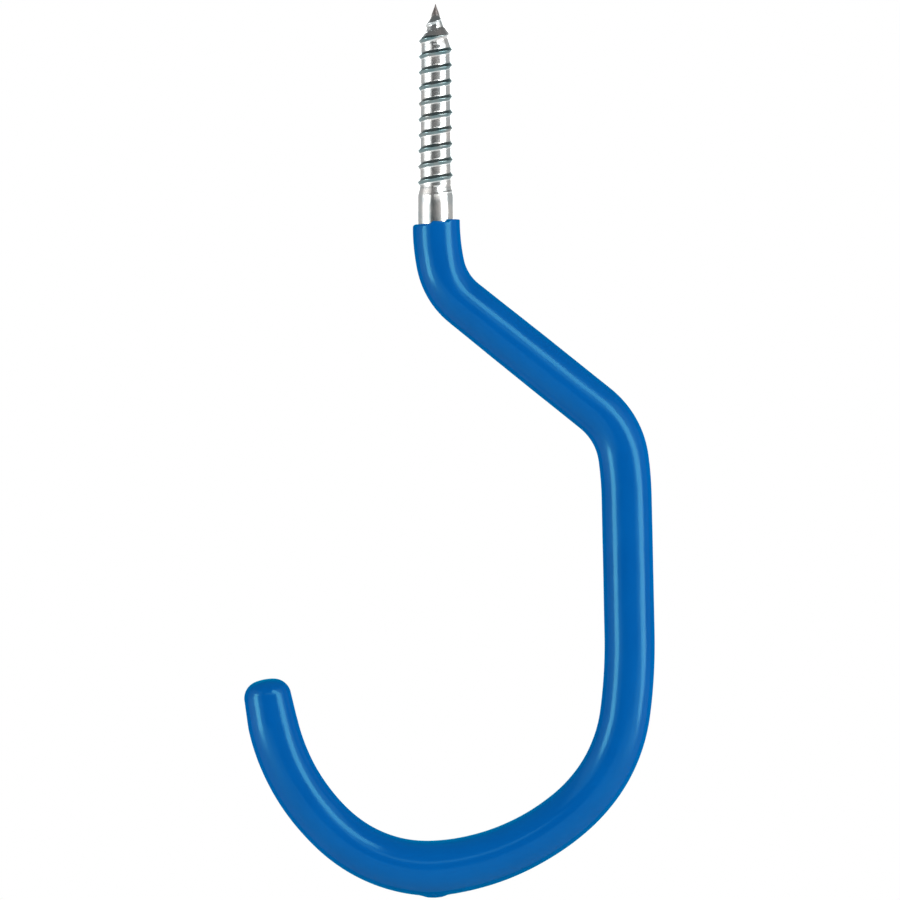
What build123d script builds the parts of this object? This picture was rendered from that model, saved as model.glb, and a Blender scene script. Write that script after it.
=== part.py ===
from build123d import *
from math import asin, atan2, cos, degrees, pi, radians, sin, tan
import os

# Screw-in ceiling hook that holds a bicycle by its wheel.
# A zinc-plated steel rod has a wood-screw thread with a gimlet point at its top. Under a short plain
# shank it bends out, runs down a slope and a straight back, and turns round into an open bowl.
# From the dip line to the closed tip the rod wears a soft vinyl coat, put on by dipping.
#
# Millimetres, +Z up. The hook lies in the plane Y = 0, and its bowl opens upwards on the -X side.
# The origin is on the screw's axis at the dip line, where the ceiling's face comes in use.

# Steel rod and its screw end, with heights measured up from the dip line. The thread's diameters are
# those at the end of the shank, from where the screw narrows a little towards its point.
rod_diameter = 8.0
shank_length = 5.4
screw_length = 47.6
thread_pitch = 3.46
thread_crest_diameter = 7.96
thread_root_diameter = 7.04
thread_taper = 0.45
thread_crest_flat = 0.12
thread_flank_angle = 55.0
thread_runout = 2.0
thread_end_bearing = -114.5
thread_start_gap = 2.6
thread_fade_turns = 0.35
point_length = 8.9
point_crest_angle = 25.6

# Centre line of the rod from the dip line down: straight runs, and bends by their radius and turn
neck_ease_radius = 47.0
neck_ease_turn = 12.0
neck_radius = 15.0
neck_turn = 39.3
slope_run = 37.1
knee_radius = 16.9
knee_turn = 43.6
knee_ease_radius = 78.0
knee_ease_turn = 6.5
back_run = 29.9
bowl_entry_radius = 114.8
bowl_entry_turn = 8.8
bowl_back_radius = 34.1
bowl_back_turn = 42.0
bowl_under_radius = 50.9
bowl_under_turn = 37.6
bowl_front_radius = 30.3
bowl_front_turn = 45.7
arm_radius = 45.1
arm_turn = 36.4
arm_run = 8.5

# Vinyl coat: its wall, its slanted lip at the dip line, its closed tip, and the sag and drip below the bowl
coat_wall = 1.575
lip_wall = 1.17
lip_ramp = 37.5
lip_slant = 5.5
lip_round = 0.4
lip_drop = 0.1
lip_offset = 0.3
lip_offset_run = 16.0
tip_wall = 1.24
tip_taper = 6.5
tip_corner_radius = 3.9
tip_crown_radius = 11.0
tip_cover = 2.0
sag_depth = 1.18
sag_lead = 1.5
sag_reach_back = 40.0
sag_reach_arm = 28.0
sag_sharpness = 1.6
drip_radius = 2.6
drip_drop = 0.38

# How the solids are made, which leaves no mark on them
thread_overlap = 0.2
thread_buried_turns = 0.1
thread_spans_per_turn = 2
thread_steps_per_span = 6
coat_section_spacing = 4.0
coat_spare = 1.0
low_point_steps = 1000

rod_radius = rod_diameter / 2
crest_radius = thread_crest_diameter / 2
root_radius = thread_root_diameter / 2
runout_end = shank_length + thread_runout
point_base = screw_length - point_length


def chain(pieces, start):
    """Wire in the plane Y = 0, straight down from a height. A run is a length, a bend (radius, turn)."""
    point = Vector(0, start)
    heading = Vector(0, -1)
    edges = []
    for piece in pieces:
        if isinstance(piece, tuple):
            edge = JernArc(point, heading, *piece)
        else:
            edge = Line(point, point + heading * piece)
        edges.append(edge)
        point = edge @ 1
        heading = edge % 1
    return Plane.XZ * Wire(edges)


def centre_line(first_run, last_run):
    """Centre line of the hook, with a straight run down to the dip line and another at the arm's end."""
    bends = [
        (neck_ease_radius, neck_ease_turn),
        (neck_radius, neck_turn),
        slope_run,
        (knee_radius, -knee_turn),
        (knee_ease_radius, -knee_ease_turn),
        back_run,
        (bowl_entry_radius, -bowl_entry_turn),
        (bowl_back_radius, -bowl_back_turn),
        (bowl_under_radius, -bowl_under_turn),
        (bowl_front_radius, -bowl_front_turn),
        (arm_radius, -arm_turn),
    ]
    return chain([first_run, *bends, last_run], first_run)


def cross_plane(route, distance):
    """Plane square to the route, with its X along the hook's +Y and its Y towards the bowl's outside."""
    origin = route.position_at(distance, position_mode=PositionMode.LENGTH)
    forward = route.tangent_at(distance, position_mode=PositionMode.LENGTH)
    return Plane(origin, x_dir=(0, 1, 0), z_dir=forward)


def narrowed(radius, z):
    """A radius that is known at the end of the shank, at another height of the slightly tapered screw."""
    return radius - (z - shank_length) * tan(radians(thread_taper))


def core_radius(z):
    """Radius of the screw under its thread: the runout from the shank, the root, and the point's cone."""
    runout_depth = rod_radius - narrowed(root_radius, runout_end)
    runout = rod_radius - runout_depth * (z - shank_length) / thread_runout
    cone = narrowed(root_radius, point_base) * (screw_length - z) / point_length
    return min(rod_radius, max(narrowed(root_radius, z), runout), cone)


def ridge_radius(z):
    """Radius of the thread's crest, which follows a wider cone over the point and fades in at its start."""
    cone = (screw_length - z) * tan(radians(point_crest_angle))
    above = screw_length - thread_start_gap - z
    fade = min(1.0, above / (thread_fade_turns * thread_pitch))
    buried = core_radius(z) - thread_overlap / 2
    return buried + (min(narrowed(crest_radius, z), cone) - buried) * fade


def ridge_section(turn):
    """Corners of the ridge's section, so many turns of right-hand thread above the end of the shank."""
    z = shank_length + thread_pitch * turn
    bearing = radians(thread_end_bearing) + 2 * pi * turn
    depth = ridge_radius(z) - core_radius(z) + thread_overlap
    half_flat = thread_crest_flat / 2
    half_base = half_flat + depth * tan(radians(thread_flank_angle))
    corners = [
        (core_radius(z - half_base) - thread_overlap, z - half_base),
        (ridge_radius(z), z - half_flat),
        (ridge_radius(z), z + half_flat),
        (core_radius(z + half_base) - thread_overlap, z + half_base),
    ]
    return [Vector(radius * cos(bearing), radius * sin(bearing), height) for radius, height in corners]


def thread_ridge():
    """The thread's one ridge, skinned by ruled helical strips and closed by a flat face at each end."""
    bottom = -thread_buried_turns
    turns = (screw_length - thread_start_gap - shank_length) / thread_pitch - bottom
    spans = round(turns * thread_spans_per_turn)
    steps = range(thread_steps_per_span + 1)
    skin = [Face(Wire.make_polygon(ridge_section(end))) for end in (bottom, bottom + turns)]
    for span in range(spans):
        places = [(span + i / thread_steps_per_span) / spans for i in steps]
        sections = [ridge_section(bottom + turns * place) for place in places]
        rails = [
            Edge.make_spline(list(points), parameters=[i / thread_steps_per_span for i in steps])
            for points in zip(*sections)
        ]
        for i in range(4):
            skin.append(Face.make_surface_from_curves(rails[i], rails[(i + 1) % 4]))
    return Solid(Shell(skin))


def screw_core():
    """Body of the screw above the shank: the taper to the thread's root, the root and the point."""
    outline = Polyline(
        (0, shank_length),
        (rod_radius, shank_length),
        (core_radius(runout_end), runout_end),
        (core_radius(point_base), point_base),
        (0, screw_length),
        close=True,
    )
    return revolve(Plane.XZ * make_face(outline), Axis.Z)


def steel_hook_rod():
    """The whole rod, from the gimlet point to its square-cut end inside the coat's tip."""
    route = centre_line(shank_length, arm_run - tip_cover)
    bent = sweep(cross_plane(route, 0) * Circle(rod_radius), path=route)
    return bent + screw_core() + thread_ridge()


def tip_cap(radius):
    """Rounded end of the coat, on a flat base and carrying on the coat's taper, and its height."""
    slope = atan2(coat_wall - tip_wall, tip_taper)
    corner_centre = radius - tip_corner_radius * cos(slope)
    lean = asin(corner_centre / (tip_crown_radius - tip_corner_radius))
    corner = JernArc((radius, 0), (-sin(slope), cos(slope)), tip_corner_radius, 90 - degrees(slope + lean))
    crown = JernArc(corner @ 1, corner % 1, tip_crown_radius, degrees(lean))
    base = Polyline(crown @ 1, (0, 0), (radius, 0))
    return revolve(Plane.XZ * make_face([corner, crown, base]), Axis.Z), (crown @ 1).Y


def low_point(route):
    """Distance along the route to its lowest point."""
    places = [route.length * i / low_point_steps for i in range(low_point_steps + 1)]
    return min(places, key=lambda place: route.position_at(place, position_mode=PositionMode.LENGTH).Z)


def coat_section(distance, end, sag_place):
    """The coat's radius at a distance along its route, and how far its centre lies outside the rod's."""
    from_dip_line = max(0, distance - coat_spare)
    from_lip = lip_wall + (coat_wall - lip_wall) * from_dip_line / lip_ramp
    to_tip = tip_wall + (coat_wall - tip_wall) * (end - distance) / tip_taper
    wall = min(coat_wall, from_lip, to_tip)
    reach = sag_reach_back if distance < sag_place else sag_reach_arm
    sag = sag_depth * max(0, 1 - abs(distance - sag_place) / reach) ** sag_sharpness / 2
    offset = lip_offset * max(0, 1 - from_dip_line / lip_offset_run)
    return rod_radius + wall + sag, sag + offset


def coat_skin(route, sag_place):
    """Solid inside the coat's outer skin, from a little above the dip line to the base of the tip's cap."""
    count = round(route.length / coat_section_spacing)
    sections = []
    for i in range(count + 1):
        distance = route.length * i / count
        radius, offset = coat_section(distance, route.length, sag_place)
        sections.append(cross_plane(route, distance) * Pos(0, offset) * Circle(radius))
    return sweep([section.face() for section in sections], path=route, multisection=True)


def drip(route, sag_place):
    """The last drop of the dip, hanging under the deepest sag."""
    radius, offset = coat_section(sag_place, route.length, sag_place)
    crown = (drip_radius**2 + drip_drop**2) / (2 * drip_drop)
    stem = Cylinder(drip_radius, coat_wall + drip_drop, align=(Align.CENTER, Align.CENTER, Align.MIN))
    drop = stem & Pos(0, 0, crown) * Sphere(crown)
    under = cross_plane(route, sag_place) * Pos(0, radius + offset)
    return Pos(under.position.X, 0, under.position.Z - drip_drop) * drop


def vinyl_coating(rod):
    """The dipped coat, moulded on the rod that it covers."""
    cap, cap_height = tip_cap(rod_radius + tip_wall)
    route = centre_line(coat_spare, arm_run - cap_height)
    sag_place = low_point(route) - sag_lead
    slant = radians(lip_slant)
    lip_edge = (rod_radius + lip_wall + lip_offset, 0, -lip_drop)
    lip_plane = Plane(lip_edge, x_dir=(0, 1, 0), z_dir=(-sin(slant), 0, cos(slant)))
    skin = split(coat_skin(route, sag_place), bisect_by=lip_plane, keep=Keep.BOTTOM)
    lip = skin.faces().sort_by(Axis.Z)[-1]
    skin = fillet(lip.edges(), lip_round)
    return skin + cross_plane(route, route.length) * cap + drip(route, sag_place) - rod


os.makedirs("parts", exist_ok=True)
steel = steel_hook_rod()
export_step(steel, "parts/steel_hook_rod.step")
export_step(vinyl_coating(steel), "parts/vinyl_coating.step")
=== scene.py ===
from math import asin, atan2, ceil, cos, hypot, pi, radians, sin, tan

import bpy
import numpy as np
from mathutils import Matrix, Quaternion, Vector, noise


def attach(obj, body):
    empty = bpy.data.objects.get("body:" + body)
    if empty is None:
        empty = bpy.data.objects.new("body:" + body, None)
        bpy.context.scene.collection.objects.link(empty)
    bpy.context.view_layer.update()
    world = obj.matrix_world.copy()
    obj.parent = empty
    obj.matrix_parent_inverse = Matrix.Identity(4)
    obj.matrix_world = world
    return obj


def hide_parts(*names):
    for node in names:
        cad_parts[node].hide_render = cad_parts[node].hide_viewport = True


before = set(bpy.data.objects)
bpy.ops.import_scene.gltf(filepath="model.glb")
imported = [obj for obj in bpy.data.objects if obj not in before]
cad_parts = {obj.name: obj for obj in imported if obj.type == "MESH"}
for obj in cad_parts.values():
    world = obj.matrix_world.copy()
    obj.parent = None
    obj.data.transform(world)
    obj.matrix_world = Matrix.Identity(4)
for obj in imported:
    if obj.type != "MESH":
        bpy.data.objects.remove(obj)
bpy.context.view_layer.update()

# A screw-in bicycle hook: a zinc-plated steel rod with a wood-screw end, in a dipped coat of blue vinyl.
# Metres, +Z up. The hook lies in the plane Y = 0 with its bowl open upwards on the -X side.
# The origin is on the screw's axis at the dip line.

# Steel rod and its screw end, as in the solid, with heights measured up from the dip line
rod_radius = 0.004
shank_length = 0.0054
screw_length = 0.0476
thread_pitch = 0.00346
crest_radius = 0.00398
root_radius = 0.00352
thread_taper = radians(0.45)
crest_half_flat = 0.00006
flank_angle = radians(55.0)
thread_runout = 0.002
thread_end_bearing = radians(-114.5)
thread_start_gap = 0.0026
thread_fade_turns = 0.35
point_length = 0.0089
point_crest_angle = radians(25.6)
point_end_radius = 0.00008
runout_end = shank_length + thread_runout

# Finish of the screw end: a rolled thread has soft corners, and a crest that isn't quite even
root_fillet = 0.00012
crest_round = 0.00006
crest_unevenness = 0.00003
crest_waves_round = 3
crest_waves_a_metre = 900
crest_mean_drop = 0.6

# Centre line from the dip line down, as in the solid: bends by their radius and turn, and straight runs
arm_run = 0.0085
rod_cover = 0.002
centre_line = [
    (0.0470, radians(12.0)),
    (0.0150, radians(39.3)),
    0.0371,
    (0.0169, radians(-43.6)),
    (0.0780, radians(-6.5)),
    0.0299,
    (0.1148, radians(-8.8)),
    (0.0341, radians(-42.0)),
    (0.0509, radians(-37.6)),
    (0.0303, radians(-45.7)),
    (0.0451, radians(-36.4)),
    arm_run,
]

# Vinyl coat, as in the solid but for the finer form of its lip and drip
coat_wall = 0.001575
lip_wall = 0.00124
lip_ramp = 0.0375
lip_offset = 0.00017
lip_offset_run = 0.016
tip_wall = 0.00124
tip_taper = 0.0065
tip_corner_radius = 0.0039
tip_crown_radius = 0.011
sag_depth = 0.00118
sag_lead = 0.0015
sag_reach_back = 0.040
sag_reach_arm = 0.028
sag_sharpness = 1.6
drip_radius = 0.0029
drip_drop = 0.00036
drip_edge = 0.0018

# Finish of the coat: the lip's steps and its rounding, and the slight unevenness that dipping leaves.
# Each step is a place across the rod, from -X to +X, and how far the lip lies under the dip line there.
lip_levels = [
    (-0.0050, 0.00090),
    (-0.0018, 0.00086),
    (-0.0006, 0.00030),
    (0.0026, 0.00043),
    (0.0035, -0.00012),
]
lip_round_left = 0.0007
lip_round_right = 0.00025
lip_wave_run = 0.005
unevenness = 0.00003
skin_waves_round = 0.9
skin_waves_a_metre = 120
skin_inset = 0.00001

# How finely the meshes are drawn
columns = 144
coat_spacing = 0.0006
inner_spacing = 0.004
low_point_spacing = 0.0002
crest_rows = 5
flank_rows = 8
root_rows = 11
spare_turns = 2
lip_rings = 9
corner_rings = 19
crown_rings = 9
sharp_angle = radians(60)


def piece_length(piece):
    """Length of one piece of the centre line, which is a bend or a straight run."""
    return abs(piece[0] * piece[1]) if isinstance(piece, tuple) else piece


centre_length = sum(piece_length(piece) for piece in centre_line)


def centre_point(distance):
    """X, Z and heading of the centre line so far below the dip line. A negative distance is above it."""
    x, z, heading = 0.0, 0.0, -pi / 2
    left = distance
    for i, piece in enumerate(centre_line):
        last = i == len(centre_line) - 1
        length = piece_length(piece)
        step = left if last or left < length else length
        if isinstance(piece, tuple) and step > 0:
            radius, turn = piece
            side = 1 if turn > 0 else -1
            swing = side * step / radius
            centre_x = x - side * radius * sin(heading)
            centre_z = z + side * radius * cos(heading)
            heading += swing
            x = centre_x + side * radius * sin(heading)
            z = centre_z - side * radius * cos(heading)
        else:
            x += step * cos(heading)
            z += step * sin(heading)
        left -= step
        if left <= 0:
            break
    return x, z, heading


def place(distance, across, sideways):
    """Point beside the centre line: across is towards the bowl's outside, sideways along +Y."""
    x, z, heading = centre_point(distance)
    return x - across * sin(heading), sideways, z + across * cos(heading)


def ring(distances, radii, offset=0.0):
    """One ring of points round the centre line, from one distance and radius for each column."""
    points = []
    for i in range(columns):
        bearing = 2 * pi * i / columns
        points.append(place(distances[i], offset + radii[i] * cos(bearing), radii[i] * sin(bearing)))
    return points


def even_ring(distance, radius):
    return ring([distance] * columns, [radius] * columns)


def steps(start, end, spacing):
    """Distances from start to end, evenly spaced, both ends included."""
    return np.linspace(start, end, max(2, ceil(abs(end - start) / spacing) + 1))


def smooth_step(value):
    """A soft rise from 0 to 1 over values from 0 to 1."""
    value = min(1.0, max(0.0, value))
    return value * value * (3 - 2 * value)


def skin_rings(rings, start_pole, end_pole):
    """Vertices and faces of a closed skin over rings of points, from one pole to the other."""
    vertices = [start_pole] + [point for points in rings for point in points] + [end_pole]
    faces = []
    for i in range(columns):
        j = (i + 1) % columns
        faces.append((0, 1 + j, 1 + i))
        for row in range(len(rings) - 1):
            low, high = 1 + row * columns, 1 + (row + 1) * columns
            faces.append((low + i, low + j, high + j, high + i))
        top = 1 + (len(rings) - 1) * columns
        faces.append((top + i, top + j, len(vertices) - 1))
    return vertices, faces


def make_piece(name, vertices, faces, material, node, slot):
    """A piece of the object, which stands for one solid and rides with it."""
    mesh = bpy.data.meshes.new(name)
    mesh.from_pydata(vertices, [], faces)
    mesh.materials.append(material)
    mesh.validate()
    mesh.polygons.foreach_set("use_smooth", [True] * len(mesh.polygons))
    mesh.set_sharp_from_angle(angle=sharp_angle)
    piece = bpy.data.objects.new(name, mesh)
    bpy.context.scene.collection.objects.link(piece)
    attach(piece, "root")
    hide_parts(node)


# Materials. A noise's scale is in waves a metre, and most of its values lie from mottle_low to mottle_high.

mottle_low = 0.3
mottle_middle = 0.5
mottle_high = 0.7

# Vinyl: faintly mottled and a little uneven. Its gloss fades from where it faces the eye to its sides,
# which have a faint sheen instead.
vinyl_mottle_scale = 90.0
vinyl_mottle_detail = 3.0
vinyl_colours = [(mottle_low, (0.0, 0.075, 0.300)), (mottle_high, (0.0, 0.082, 0.318))]
vinyl_roughness = (0.15, 0.20)
vinyl_ior = 1.40
gloss_level = 0.5
gloss_tint = (0.22, 0.95, 1.0, 1.0)
gloss_fade_start = 0.2
gloss_fade_end = 0.5
sheen_weight = 0.32
sheen_roughness = 0.45
sheen_tint = (0.0, 0.75, 1.0, 1.0)
swell_scale = 220.0
swell_detail = 1.0
swell_height = 0.00003

# Steel: bright plating, painted shade with a bluish cast on the thread's ridge, and a darker, rougher point.
# The painted shade comes in between two heights over the thread's root, and near the end of the runout.
steel_mottle_scale = 300.0
steel_mottle_detail = 4.0
plating_colours = [
    (mottle_low, (0.68, 0.76, 0.78)),
    (mottle_middle, (0.80, 0.82, 0.81)),
    (mottle_high, (0.82, 0.79, 0.76)),
]
# Painted shade with a bluish cast, for the thread's ridge
ridge_shade_colours = [
    (mottle_low, (0.14, 0.25, 0.27)),
    (mottle_middle, (0.24, 0.33, 0.34)),
    (mottle_high, (0.34, 0.35, 0.34)),
]
# Darker, rougher colours for the screw's point
dark_point_colours = [(mottle_low, (0.19, 0.17, 0.165)), (mottle_high, (0.25, 0.225, 0.215))]
steel_roughness = (0.16, 0.26)
dark_point_roughness = 0.5
dark_point_start = 0.0446
dark_point_end = 0.0454
# Where the painted shade on the thread's ridge comes in, over the root and around the runout's end
ridge_shade_foot = 0.00001
ridge_shade_full = 0.00009
ridge_shade_below_runout = 0.0006
ridge_shade_above_runout = 0.0002
pit_scale = 1500.0
pit_detail = 3.0
pit_height = 0.000012


def node_material(name):
    material = bpy.data.materials.new(name)
    material.use_nodes = True
    nodes = material.node_tree.nodes
    return material, nodes, material.node_tree.links, nodes["Principled BSDF"]


def noise_node(nodes, links, coordinates, scale, detail):
    texture = nodes.new("ShaderNodeTexNoise")
    texture.inputs["Scale"].default_value = scale
    texture.inputs["Detail"].default_value = detail
    links.new(coordinates, texture.inputs["Vector"])
    return texture.outputs["Fac"]


def ramp_node(nodes, links, factor, stops):
    """Colours by a factor, from stops of a position and a colour."""
    ramp = nodes.new("ShaderNodeValToRGB")
    elements = ramp.color_ramp.elements
    while len(elements) < len(stops):
        elements.new(0.5)
    for element, (position, colour) in zip(elements, stops):
        element.position = position
        element.color = (*colour, 1.0)
    links.new(factor, ramp.inputs["Fac"])
    return ramp.outputs["Color"]


def range_node(nodes, links, value, start, end, low, high):
    """A value that goes from low to high while another goes from start to end."""
    mapped = nodes.new("ShaderNodeMapRange")
    mapped.inputs["From Min"].default_value = start
    mapped.inputs["From Max"].default_value = end
    mapped.inputs["To Min"].default_value = low
    mapped.inputs["To Max"].default_value = high
    links.new(value, mapped.inputs["Value"])
    return mapped.outputs["Result"]


def math_node(nodes, links, operation, first, second):
    result = nodes.new("ShaderNodeMath")
    result.operation = operation
    for value, socket in zip((first, second), result.inputs):
        if isinstance(value, float):
            socket.default_value = value
        else:
            links.new(value, socket)
    return result.outputs["Value"]


def mix_node(nodes, links, factor, first, second):
    mixed = nodes.new("ShaderNodeMix")
    for value, name in ((factor, "Factor"), (first, "A"), (second, "B")):
        if isinstance(value, float):
            mixed.inputs[name].default_value = value
        else:
            links.new(value, mixed.inputs[name])
    return mixed.outputs["Result"]


def mix_colour_node(nodes, links, factor, first, second):
    mixed = nodes.new("ShaderNodeMix")
    mixed.data_type = "RGBA"
    links.new(factor, mixed.inputs["Factor"])
    colours = [socket for socket in mixed.inputs if socket.type == "RGBA"]
    links.new(first, colours[0])
    links.new(second, colours[1])
    return [socket for socket in mixed.outputs if socket.type == "RGBA"][0]


def bump_node(nodes, links, height, distance):
    bump = nodes.new("ShaderNodeBump")
    bump.inputs["Strength"].default_value = 1.0
    bump.inputs["Distance"].default_value = distance
    links.new(height, bump.inputs["Height"])
    return bump.outputs["Normal"]


def vinyl_material():
    material, nodes, links, shader = node_material("blue_dipped_vinyl")
    here = nodes.new("ShaderNodeTexCoord").outputs["Object"]
    mottle = noise_node(nodes, links, here, vinyl_mottle_scale, vinyl_mottle_detail)
    links.new(ramp_node(nodes, links, mottle, vinyl_colours), shader.inputs["Base Color"])
    rough = range_node(nodes, links, mottle, mottle_low, mottle_high, *vinyl_roughness)
    links.new(rough, shader.inputs["Roughness"])
    shader.inputs["IOR"].default_value = vinyl_ior
    shader.inputs["Specular Tint"].default_value = gloss_tint
    facing = nodes.new("ShaderNodeLayerWeight").outputs["Facing"]
    gloss = range_node(nodes, links, facing, gloss_fade_start, gloss_fade_end, gloss_level, 0.0)
    links.new(gloss, shader.inputs["Specular IOR Level"])
    shader.inputs["Sheen Weight"].default_value = sheen_weight
    shader.inputs["Sheen Roughness"].default_value = sheen_roughness
    shader.inputs["Sheen Tint"].default_value = sheen_tint
    swell = noise_node(nodes, links, here, swell_scale, swell_detail)
    links.new(bump_node(nodes, links, swell, swell_height), shader.inputs["Normal"])
    return material


def untapered_radius(nodes, links, split):
    """Distance from the screw's axis, with the screw's slight taper made up for."""
    flat = nodes.new("ShaderNodeCombineXYZ")
    links.new(split.outputs["X"], flat.inputs["X"])
    links.new(split.outputs["Y"], flat.inputs["Y"])
    from_axis = nodes.new("ShaderNodeVectorMath")
    from_axis.operation = "LENGTH"
    links.new(flat.outputs["Vector"], from_axis.inputs[0])
    lean = math_node(nodes, links, "MULTIPLY", split.outputs["Z"], tan(thread_taper))
    return math_node(nodes, links, "ADD", from_axis.outputs["Value"], lean)


def ridge_shade_mask(nodes, links, split):
    """Where the painted shade goes: one on the thread's ridge, and nothing on its root, the runout and the
    shank.
    """
    root = root_radius + shank_length * tan(thread_taper)
    radius = untapered_radius(nodes, links, split)
    ridge = range_node(nodes, links, radius, root + ridge_shade_foot, root + ridge_shade_full, 0.0, 1.0)
    start = runout_end - ridge_shade_below_runout
    end = runout_end + ridge_shade_above_runout
    threaded = range_node(nodes, links, split.outputs["Z"], start, end, 0.0, 1.0)
    return math_node(nodes, links, "MULTIPLY", ridge, threaded)


def steel_material():
    material, nodes, links, shader = node_material("bright_zinc_plating")
    here = nodes.new("ShaderNodeTexCoord").outputs["Object"]
    split = nodes.new("ShaderNodeSeparateXYZ")
    links.new(here, split.inputs["Vector"])
    mottle = noise_node(nodes, links, here, steel_mottle_scale, steel_mottle_detail)
    plating = ramp_node(nodes, links, mottle, plating_colours)
    ridge_shade = ramp_node(nodes, links, mottle, ridge_shade_colours)
    dark_point = ramp_node(nodes, links, mottle, dark_point_colours)
    # The thread's ridge gets painted shade with a bluish cast over the plating
    screw = mix_colour_node(nodes, links, ridge_shade_mask(nodes, links, split), plating, ridge_shade)
    # The point is darker and rougher than the plating
    point = range_node(nodes, links, split.outputs["Z"], dark_point_start, dark_point_end, 0.0, 1.0)
    links.new(mix_colour_node(nodes, links, point, screw, dark_point), shader.inputs["Base Color"])
    shader.inputs["Metallic"].default_value = 1.0
    rough = range_node(nodes, links, mottle, mottle_low, mottle_high, *steel_roughness)
    links.new(mix_node(nodes, links, point, rough, dark_point_roughness), shader.inputs["Roughness"])
    pits = noise_node(nodes, links, here, pit_scale, pit_detail)
    links.new(bump_node(nodes, links, pits, pit_height), shader.inputs["Normal"])
    return material


# Steel rod


def narrowed(radius, z):
    """A radius that is known at the end of the shank, at another height of the slightly tapered screw."""
    return radius - (z - shank_length) * tan(thread_taper)


def core_radius(z):
    """Radius of the screw under its thread: the runout from the shank, the root, and the point's cone."""
    runout_depth = rod_radius - narrowed(root_radius, runout_end)
    runout = rod_radius - runout_depth * (z - shank_length) / thread_runout
    cone = narrowed(root_radius, screw_length - point_length) * (screw_length - z) / point_length
    return min(rod_radius, max(narrowed(root_radius, z), runout), cone)


def ridge_radius(z):
    """Radius of the thread's crest, which follows a wider cone over the point and fades in at its start."""
    cone = (screw_length - z) * tan(point_crest_angle)
    above = screw_length - thread_start_gap - z
    fade = min(1.0, above / (thread_fade_turns * thread_pitch))
    buried = core_radius(z) - root_fillet
    return buried + (min(narrowed(crest_radius, z), cone) - buried) * fade


def soft_max(a, b, width):
    """The larger of two values, with a soft change from one to the other."""
    return max(a, b) + max(0.0, width - abs(a - b)) ** 2 / (4 * width)


def thread_radius(z, bearing, from_ridge):
    """Radius of the threaded surface at a height, so far above the nearest turn of its ridge."""
    around = (crest_waves_round * cos(bearing), crest_waves_round * sin(bearing))
    wave = noise.noise(Vector((*around, z * crest_waves_a_metre)))
    ridge_height = ridge_radius(z - from_ridge) + crest_unevenness * (wave - crest_mean_drop)
    flank = ridge_height - (abs(from_ridge) - crest_half_flat) / tan(flank_angle)
    ridge = -soft_max(-ridge_height, -flank, crest_round)
    core = core_radius(z)
    return max(point_end_radius, soft_max(core, ridge, min(root_fillet, core / 2)))


def ridge_phases():
    """Places of the mesh's rows across one pitch, closest at the ridge's edges."""
    half_base = crest_half_flat + (crest_radius - root_radius) * tan(flank_angle)
    crest = np.linspace(-crest_half_flat, crest_half_flat, crest_rows)
    flank = np.linspace(crest_half_flat, half_base, flank_rows)[1:]
    root = np.linspace(half_base, thread_pitch - half_base, root_rows)[1:]
    far_flank = np.linspace(thread_pitch - half_base, thread_pitch - crest_half_flat, flank_rows)[1:-1]
    return [*crest, *flank, *root, *far_flank]


def steel_hook_rod():
    """Rings up the bent rod, then rows that follow the helix of the thread, and the point."""
    end_distance = centre_length - rod_cover
    rings = [even_ring(distance, rod_radius) for distance in steps(end_distance, 0.0, inner_spacing)]
    rings += [even_ring(-z, rod_radius) for z in steps(0.0, shank_length, inner_spacing)[1:]]
    vertices, faces = skin_rings(rings, place(end_distance, 0, 0), (0, 0, screw_length))
    tip_vertex = len(vertices) - 1
    faces = [face for face in faces if tip_vertex not in face]
    first_ring = tip_vertex - columns

    phases = ridge_phases()
    turns = ceil((screw_length - shank_length) / thread_pitch) + spare_turns
    rows = [(turn, phase) for turn in range(-spare_turns, turns) for phase in phases]
    index = []
    for i in range(columns):
        bearing = 2 * pi * i / columns
        base = shank_length + thread_pitch * (bearing - thread_end_bearing) / (2 * pi)
        column = []
        for turn, phase in rows:
            z = base + thread_pitch * turn + phase
            if z <= shank_length:
                column.append(first_ring + i)
            elif z >= screw_length - point_end_radius:
                column.append(tip_vertex)
            else:
                from_ridge = (phase + thread_pitch / 2) % thread_pitch - thread_pitch / 2
                radius = thread_radius(z, bearing, from_ridge)
                column.append(len(vertices))
                vertices.append((radius * cos(bearing), radius * sin(bearing), z))
        index.append(column)

    # The last column meets the first one a whole turn further up
    last = len(rows) - 1
    for i in range(columns):
        for row in range(last):
            if i < columns - 1:
                right = (index[i + 1][row], index[i + 1][row + 1])
            else:
                right = (index[0][min(last, row + len(phases))], index[0][min(last, row + 1 + len(phases))])
            corners = [index[i][row], right[0], right[1], index[i][row + 1]]
            face = [corner for k, corner in enumerate(corners) if corner != corners[k - 1]]
            if len(set(face)) > 2:
                faces.append(face)
    return vertices, faces


# Vinyl coat


def lip_depth(bearing):
    """How far the coat's edge lies under the dip line, which has two steps across the rod."""
    x = (rod_radius + lip_wall) * cos(bearing)
    depth = lip_levels[0][1]
    for (start, level), (end, next_level) in zip(lip_levels, lip_levels[1:]):
        depth += (next_level - level) * smooth_step((x - start) / (end - start))
    return depth


def low_distance():
    """Distance along the centre line to its lowest point."""
    return min(steps(0, centre_length, low_point_spacing), key=lambda distance: centre_point(distance)[1])


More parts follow.
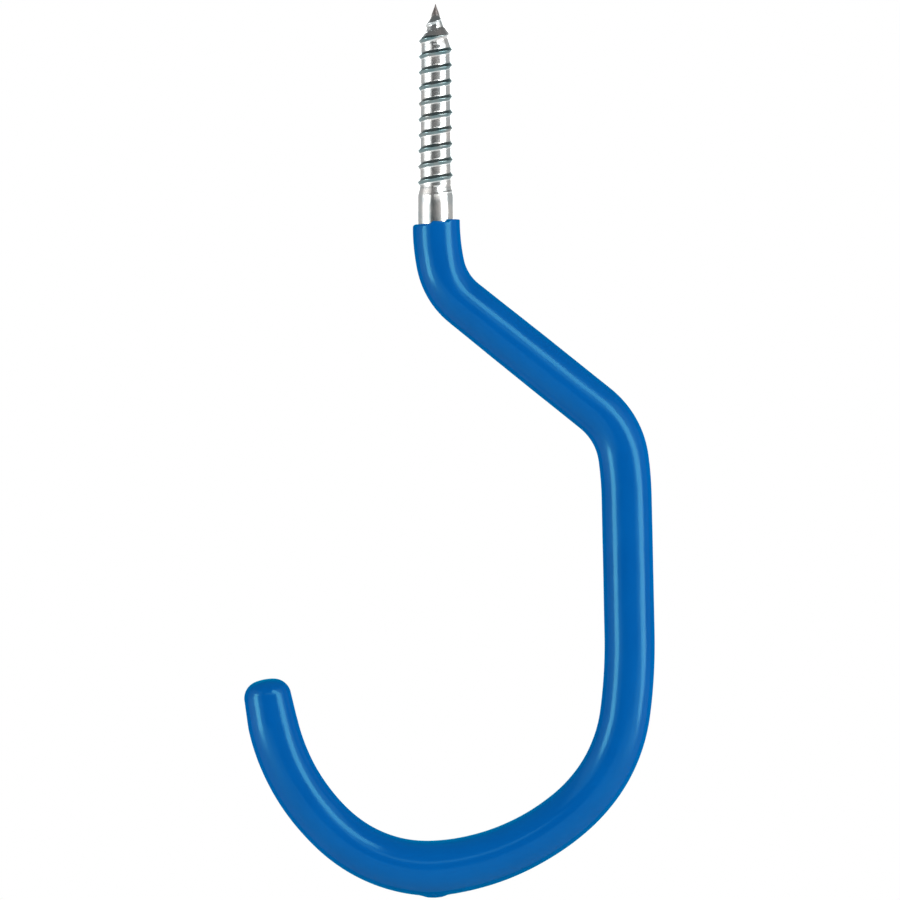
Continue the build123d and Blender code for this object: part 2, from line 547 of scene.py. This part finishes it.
def coat_section(distance, end, sag_place):
    """The coat's radius so far below the dip line, and how far its centre lies outside the rod's."""
    from_dip_line = max(0.0, distance)
    from_lip = lip_wall + (coat_wall - lip_wall) * from_dip_line / lip_ramp
    to_tip = tip_wall + (coat_wall - tip_wall) * (end - distance) / tip_taper
    wall = min(coat_wall, from_lip, to_tip)
    reach = sag_reach_back if distance < sag_place else sag_reach_arm
    sag = sag_depth * max(0.0, 1 - abs(distance - sag_place) / reach) ** sag_sharpness / 2
    offset = lip_offset * max(0.0, 1 - from_dip_line / lip_offset_run)
    return rod_radius + wall + sag, sag + offset


def uneven(distance, bearing):
    """A small inward amount, by which a dipped skin departs from a true round."""
    around = (skin_waves_round * cos(bearing), skin_waves_round * sin(bearing))
    return unevenness * (noise.noise(Vector((distance * skin_waves_a_metre, *around))) - 1)


def drip_height(distance, sideways, sag_place):
    """Height of the drip, a flat round drop with a soft edge."""
    away = hypot(distance - sag_place, sideways)
    return drip_drop * smooth_step((drip_radius - away) / drip_edge)


def coat_ring(distance, end, sag_place):
    """One ring of the coat's skin, which follows the lip's steps near the lip."""
    radius, offset = coat_section(distance, end, sag_place)
    raised = 1 - smooth_step(distance / lip_wave_run)
    distances, radii = [], []
    for i in range(columns):
        bearing = 2 * pi * i / columns
        r = radius - skin_inset + uneven(distance, bearing)
        if cos(bearing) > 0:
            r += drip_height(distance, r * sin(bearing), sag_place)
        distances.append(distance + raised * lip_depth(bearing))
        radii.append(r)
    return ring(distances, radii, offset)


def lip_ring(angle, end, sag_place):
    """One ring of the lip's rounding, which goes from its flat top at angle 0 to the skin."""
    radius, offset = coat_section(0.0, end, sag_place)
    distances, radii = [], []
    for i in range(columns):
        bearing = 2 * pi * i / columns
        rounding = lip_round_left + (lip_round_right - lip_round_left) * (1 + cos(bearing)) / 2
        distances.append(lip_depth(bearing) + rounding * (1 - cos(angle)))
        radii.append(radius - skin_inset - rounding * (1 - sin(angle)) + uneven(0.0, bearing))
    return ring(distances, radii, offset)


def vinyl_coating():
    """From the tip up the skin, over the lip and down the bore to its blind end."""
    slope = atan2(coat_wall - tip_wall, tip_taper)
    corner_centre = rod_radius + tip_wall - tip_corner_radius * cos(slope)
    lean = asin(corner_centre / (tip_crown_radius - tip_corner_radius))
    crown_centre = centre_length - tip_crown_radius
    corner_distance = crown_centre + (tip_crown_radius - tip_corner_radius) * cos(lean)
    end = corner_distance + tip_corner_radius * sin(slope)
    sag_place = low_distance() - sag_lead
    bore_end = centre_length - rod_cover

    rings = []
    for angle in np.linspace(0, lean, crown_rings)[1:-1]:
        radius = tip_crown_radius * sin(angle)
        rings.append(even_ring(crown_centre + tip_crown_radius * cos(angle), radius))
    for angle in np.linspace(pi / 2 - lean, slope, corner_rings)[:-1]:
        radius = corner_centre + tip_corner_radius * cos(angle) - unevenness
        rings.append(even_ring(corner_distance + tip_corner_radius * sin(angle), radius))
    for distance in steps(end, lip_round_left, coat_spacing)[:-1]:
        rings.append(coat_ring(distance, end, sag_place))
    for angle in np.radians(np.linspace(90, 0, lip_rings)):
        rings.append(lip_ring(angle, end, sag_place))
    rings.append(ring([lip_depth(2 * pi * i / columns) for i in range(columns)], [rod_radius] * columns))
    rings += [even_ring(distance, rod_radius) for distance in steps(inner_spacing, bore_end, inner_spacing)]
    return skin_rings(rings, place(centre_length, 0, 0), place(bore_end, 0, 0))


steel = steel_material()
vinyl = vinyl_material()
make_piece("bent_steel_rod", *steel_hook_rod(), steel, "steel_hook_rod", "zinc_plated_steel")
make_piece("dipped_vinyl_coat", *vinyl_coating(), vinyl, "vinyl_coating", "blue_vinyl")

# Camera: straight at the hook's plane through a long lens, framed as in the photo

photo_pixels = 900
pixel_size = 0.0002204
screw_axis_pixel = 435.5
dip_line_pixel = 220.0
camera_distance = 2.0
sensor_width = 36.0

aim_x = (photo_pixels / 2 - screw_axis_pixel) * pixel_size
aim_z = (dip_line_pixel - photo_pixels / 2) * pixel_size
camera_data = bpy.data.cameras.new("camera")
camera_data.sensor_width = sensor_width
camera_data.lens = sensor_width * camera_distance / (photo_pixels * pixel_size)
camera = bpy.data.objects.new("camera", camera_data)
camera.location = (aim_x, -camera_distance, aim_z)
camera.rotation_euler = (radians(90), 0, 0)
bpy.context.scene.collection.objects.link(camera)
bpy.context.scene.camera = camera

# Lights: a softbox and a brighter strip on each side, a flat line over the front and a softbox behind.
# Each has its name, azimuth, elevation, distance, width, height, brightness and roll.

lamps = [
    ("left_softbox", -63, 0, 1.00, 1.20, 1.50, 0.75, 0),
    ("right_softbox", 61, 8, 1.00, 0.80, 1.50, 0.9, 0),
    ("left_strip", -61, 1, 1.35, 0.51, 0.86, 7.2, 0),
    ("right_strip", 52, 17, 1.35, 0.50, 1.90, 5.9, 41),
    ("front_line", 8, 22, 1.20, 0.97, 0.18, 1.7, 0),
    ("back_softbox", 180, 15, 1.60, 1.50, 1.50, 2.0, 0),
]


def lamp(name, azimuth, elevation, distance, width, height, brightness, roll):
    """A soft panel that faces the hook. Azimuth goes from the front to +X, and roll leans its top forward."""
    side, rise = radians(azimuth), radians(elevation)
    centre = Vector((aim_x, 0, aim_z))
    towards = Vector((sin(side) * cos(rise), -cos(side) * cos(rise), sin(rise)))
    data = bpy.data.lights.new(name, "AREA")
    data.shape = "RECTANGLE"
    data.size = width
    data.size_y = height
    data.energy = brightness * pi * width * height
    light = bpy.data.objects.new(name, data)
    light.location = centre + towards * distance
    rolled = Quaternion((0, 0, 1), radians(roll))
    light.rotation_euler = (towards.to_track_quat("Z", "Y") @ rolled).to_euler()
    light.visible_camera = False
    bpy.context.scene.collection.objects.link(light)


for settings in lamps:
    lamp(*settings)

# World: white to the camera. To the hook it is a white backdrop in a room that is dim in front, above and
# below. A place in it is the X, Y or Z of the direction from the hook, and a level is a brightness.

tilt_start = 0.4
tilt_end = 0.7
ceiling_level = 0.15
front_left = -0.1
front_right = 0.6
front_left_level = 0.08
front_right_level = 0.30
side_start = -0.3
side_end = 0.2
side_level = 0.45
backdrop_start = 0.75
backdrop_end = 0.9


def ray_kinds(nodes, links):
    """Two masks: one for rays from the camera, and one for rays that a surface mirrors or lets through."""
    ray = nodes.new("ShaderNodeLightPath").outputs
    mirrored = math_node(nodes, links, "ADD", ray["Is Glossy Ray"], ray["Is Transmission Ray"])
    return ray["Is Camera Ray"], mirrored


def white_world():
    world = bpy.data.worlds.new("studio")
    world.use_nodes = True
    nodes = world.node_tree.nodes
    links = world.node_tree.links
    nodes.clear()
    split = nodes.new("ShaderNodeSeparateXYZ")
    links.new(nodes.new("ShaderNodeTexCoord").outputs["Generated"], split.inputs["Vector"])
    x, y, z = (split.outputs[axis] for axis in "XYZ")
    tilt = math_node(nodes, links, "ABSOLUTE", z, 0.0)
    level = range_node(nodes, links, tilt, tilt_start, tilt_end, 1.0, 0.0)
    front = range_node(nodes, links, x, front_left, front_right, front_left_level, front_right_level)
    sides = range_node(nodes, links, y, side_start, side_end, 0.0, 1.0)
    walls = mix_node(nodes, links, sides, front, side_level)
    room = mix_node(nodes, links, level, ceiling_level, walls)
    behind = range_node(nodes, links, y, backdrop_start, backdrop_end, 0.0, 1.0)
    backdrop = math_node(nodes, links, "MULTIPLY", behind, level)
    seen, mirrored = ray_kinds(nodes, links)
    white = math_node(nodes, links, "MULTIPLY", mirrored, backdrop)
    white = math_node(nodes, links, "ADD", seen, white)
    background = nodes.new("ShaderNodeBackground")
    background.inputs["Color"].default_value = (1.0, 1.0, 1.0, 1.0)
    links.new(mix_node(nodes, links, white, room, 1.0), background.inputs["Strength"])
    output = nodes.new("ShaderNodeOutputWorld")
    links.new(background.outputs["Background"], output.inputs["Surface"])
    return world


# Floor

floor_level = -0.45
floor_half = 3.5
floor_colour = (0.7, 0.7, 0.7, 1.0)
floor_roughness = 0.9
floor_fade_start = 0.5
floor_fade_end = 2.2
floor_lift = 0.3


def floor_material():
    """A pale matt floor, which is lifted towards white for the eye, and wholly white further out."""
    material, nodes, links, shader = node_material("pale_floor")
    shader.inputs["Base Color"].default_value = floor_colour
    shader.inputs["Roughness"].default_value = floor_roughness
    shader.inputs["Specular IOR Level"].default_value = 0.0
    out = nodes.new("ShaderNodeVectorMath")
    out.operation = "LENGTH"
    links.new(nodes.new("ShaderNodeTexCoord").outputs["Object"], out.inputs[0])
    far = range_node(nodes, links, out.outputs["Value"], floor_fade_start, floor_fade_end, floor_lift, 1.0)
    seen, mirrored = ray_kinds(nodes, links)
    seen = math_node(nodes, links, "ADD", seen, mirrored)
    white = nodes.new("ShaderNodeEmission")
    mixed = nodes.new("ShaderNodeMixShader")
    links.new(math_node(nodes, links, "MULTIPLY", seen, far), mixed.inputs["Fac"])
    links.new(shader.outputs["BSDF"], mixed.inputs[1])
    links.new(white.outputs["Emission"], mixed.inputs[2])
    links.new(mixed.outputs["Shader"], nodes["Material Output"].inputs["Surface"])
    return material


def pale_floor():
    mesh = bpy.data.meshes.new("floor")
    h, z = floor_half, floor_level
    mesh.from_pydata([(-h, -h, z), (h, -h, z), (h, h, z), (-h, h, z)], [], [(0, 1, 2, 3)])
    mesh.materials.append(floor_material())
    floor = bpy.data.objects.new("floor", mesh)
    bpy.context.scene.collection.objects.link(floor)


bpy.context.scene.world = white_world()
pale_floor()
bpy.context.scene.view_settings.view_transform = "Standard"
